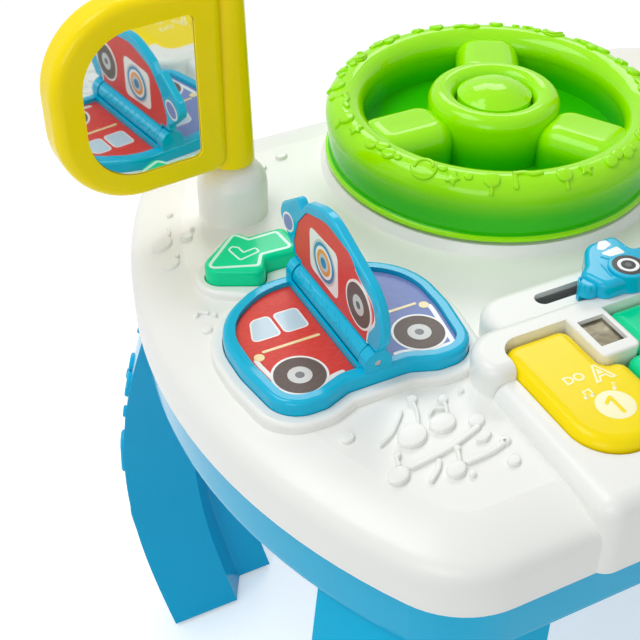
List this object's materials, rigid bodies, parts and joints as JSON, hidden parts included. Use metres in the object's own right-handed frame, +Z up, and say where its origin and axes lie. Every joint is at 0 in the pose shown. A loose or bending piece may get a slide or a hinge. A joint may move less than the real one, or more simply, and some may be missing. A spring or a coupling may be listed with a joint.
{
  "type": "activity table",
  "caption": "Toddler's standing activity table on bowed corner legs, with steering wheel, swivelling mirrors, flip book, arrow buttons, piano keys, sliding car and gear lever.",
  "frame": {"origin": "on the floor under the middle of the table", "axes": "+X to the right of a child at the keyboard, +Y away from the child, +Z up"},
  "size_m": [0.4596, 0.352, 0.449],
  "materials": {
    "white_abs": "semi-gloss moulded",
    "blue_abs": "gloss moulded",
    "yellow_abs": "gloss moulded",
    "lime_pp": "high-gloss moulded",
    "green_abs": "gloss moulded",
    "orange_abs": "gloss moulded",
    "red_abs": "gloss moulded",
    "dark_abs": "fine matt",
    "red_card": "printed film",
    "violet_card": "printed film",
    "silver_foil": "metallised film",
    "mirror_sheet": "polished",
    "rubber_pad": "matt",
    "steel": "zinc plated",
    "spring_steel": "drawn wire",
    "board_green": "solder resist",
    "cell_wrap": "printed sleeve",
    "contact_brass": "nickel on brass"
  },
  "bodies": {
    "table": {"top_shell": "white_abs", "lower_shell": "blue_abs", "anti_slip_pads": "rubber_pad", "mirror_screws": "steel", "book_tray": "blue_abs", "tray_card_left": "red_card", "tray_card_right": "violet_card", "page_hinge_pin": "steel", "gear_plate": "blue_abs", "gear_pin": "steel", "key_shaft": "steel", "box_tiles": "silver_foil", "circuit_board": "board_green", "board_screws": "steel", "housing_screws": "steel", "batteries": "cell_wrap", "battery_contacts": "contact_brass", "battery_door": "blue_abs", "battery_door_screw": "steel", "speaker": "dark_abs", "switch_housing": "dark_abs", "leg_back_left": "blue_abs", "foot_back_left": "blue_abs", "leg_back_right": "blue_abs", "foot_back_right": "blue_abs", "leg_front_left": "blue_abs", "foot_front_left": "blue_abs", "leg_front_right": "blue_abs", "foot_front_right": "blue_abs", "arrow_spring_left": "spring_steel", "arrow_spring_right": "spring_steel", "key_spring_1": "spring_steel", "key_spring_2": "spring_steel", "key_spring_3": "spring_steel", "key_spring_4": "spring_steel"},
    "wheel": {"steering_wheel": "lime_pp", "wheel_retainer": "steel", "horn_spring": "spring_steel"},
    "horn": {"horn_button": "lime_pp"},
    "left_mirror": {"mirror_frame_left": "yellow_abs", "mirror_glass_left": "mirror_sheet", "mirror_cap_left": "yellow_abs"},
    "right_mirror": {"mirror_frame_right": "yellow_abs", "mirror_glass_right": "mirror_sheet", "mirror_cap_right": "yellow_abs"},
    "page": {"flip_page": "blue_abs", "page_card_left": "red_card", "page_card_right": "violet_card"},
    "left_arrow": {"arrow_button_left": "green_abs"},
    "right_arrow": {"arrow_button_right": "green_abs"},
    "first_key": {"key_1": "yellow_abs"},
    "second_key": {"key_2": "green_abs"},
    "third_key": {"key_3": "orange_abs"},
    "fourth_key": {"key_4": "blue_abs"},
    "car": {"slider_car": "blue_abs", "slider_plate": "white_abs"},
    "lever": {"gear_lever": "white_abs", "gear_knob": "yellow_abs"},
    "switch": {"power_switch": "dark_abs"}
  },
  "joints": [
    {"name": "wheel_turn", "type": "hinge", "parent": "table", "child": "wheel", "pos_m": [0, 0.075, 0.32], "axis": [0, 0, 1], "continuous": true},
    {"name": "horn_press", "type": "slide", "parent": "wheel", "child": "horn", "axis": [0, 0, -1], "range_m": [0, 0.0025], "stiffness_N_per_m": 400, "springref_m": -0.003, "deforming": ["horn_spring"]},
    {"name": "left_mirror_swivel", "type": "hinge", "parent": "table", "child": "left_mirror", "pos_m": [-0.1406, 0.092, 0.37], "axis": [0, 0, 1], "range_deg": [-40, 40]},
    {"name": "right_mirror_swivel", "type": "hinge", "parent": "table", "child": "right_mirror", "pos_m": [0.1406, 0.092, 0.37], "axis": [0, 0, 1], "range_deg": [-40, 40]},
    {"name": "page_flip", "type": "hinge", "parent": "table", "child": "page", "pos_m": [-0.1405, -0.02, 0.334], "axis": [0, 1, 0], "range_deg": [-82, 82]},
    {"name": "left_arrow_press", "type": "slide", "parent": "table", "child": "left_arrow", "axis": [0, 0, -1], "range_m": [0, 0.003], "stiffness_N_per_m": 350, "springref_m": -0.004, "deforming": ["arrow_spring_left"]},
    {"name": "right_arrow_press", "type": "slide", "parent": "table", "child": "right_arrow", "axis": [0, 0, -1], "range_m": [0, 0.003], "stiffness_N_per_m": 350, "springref_m": -0.004, "deforming": ["arrow_spring_right"]},
    {"name": "first_key_press", "type": "hinge", "parent": "table", "child": "first_key", "pos_m": [-0.0681, -0.077, 0.318], "axis": [1, 0, 0], "range_deg": [0, 3], "stiffness_Nm_per_rad": 0.4, "springref_deg": -5.16, "deforming": ["key_spring_1"]},
    {"name": "second_key_press", "type": "hinge", "parent": "table", "child": "second_key", "pos_m": [-0.0227, -0.077, 0.318], "axis": [1, 0, 0], "range_deg": [0, 3], "stiffness_Nm_per_rad": 0.4, "springref_deg": -5.16, "deforming": ["key_spring_2"]},
    {"name": "third_key_press", "type": "hinge", "parent": "table", "child": "third_key", "pos_m": [0.0227, -0.077, 0.318], "axis": [1, 0, 0], "range_deg": [0, 3], "stiffness_Nm_per_rad": 0.4, "springref_deg": -5.16, "deforming": ["key_spring_3"]},
    {"name": "fourth_key_press", "type": "hinge", "parent": "table", "child": "fourth_key", "pos_m": [0.0681, -0.077, 0.318], "axis": [1, 0, 0], "range_deg": [0, 3], "stiffness_Nm_per_rad": 0.4, "springref_deg": -5.16, "deforming": ["key_spring_4"]},
    {"name": "car_slide", "type": "slide", "parent": "table", "child": "car", "axis": [1, 0, 0], "range_m": [-0.045, 0.045]},
    {"name": "gear_shift", "type": "hinge", "parent": "table", "child": "lever", "pos_m": [0.1405, -0.021, 0.296], "axis": [1, 0, 0], "range_deg": [-15, 15]},
    {"name": "power_switch_slide", "type": "slide", "parent": "table", "child": "switch", "axis": [1, 0, 0], "range_m": [0, 0.005]}
  ]
}
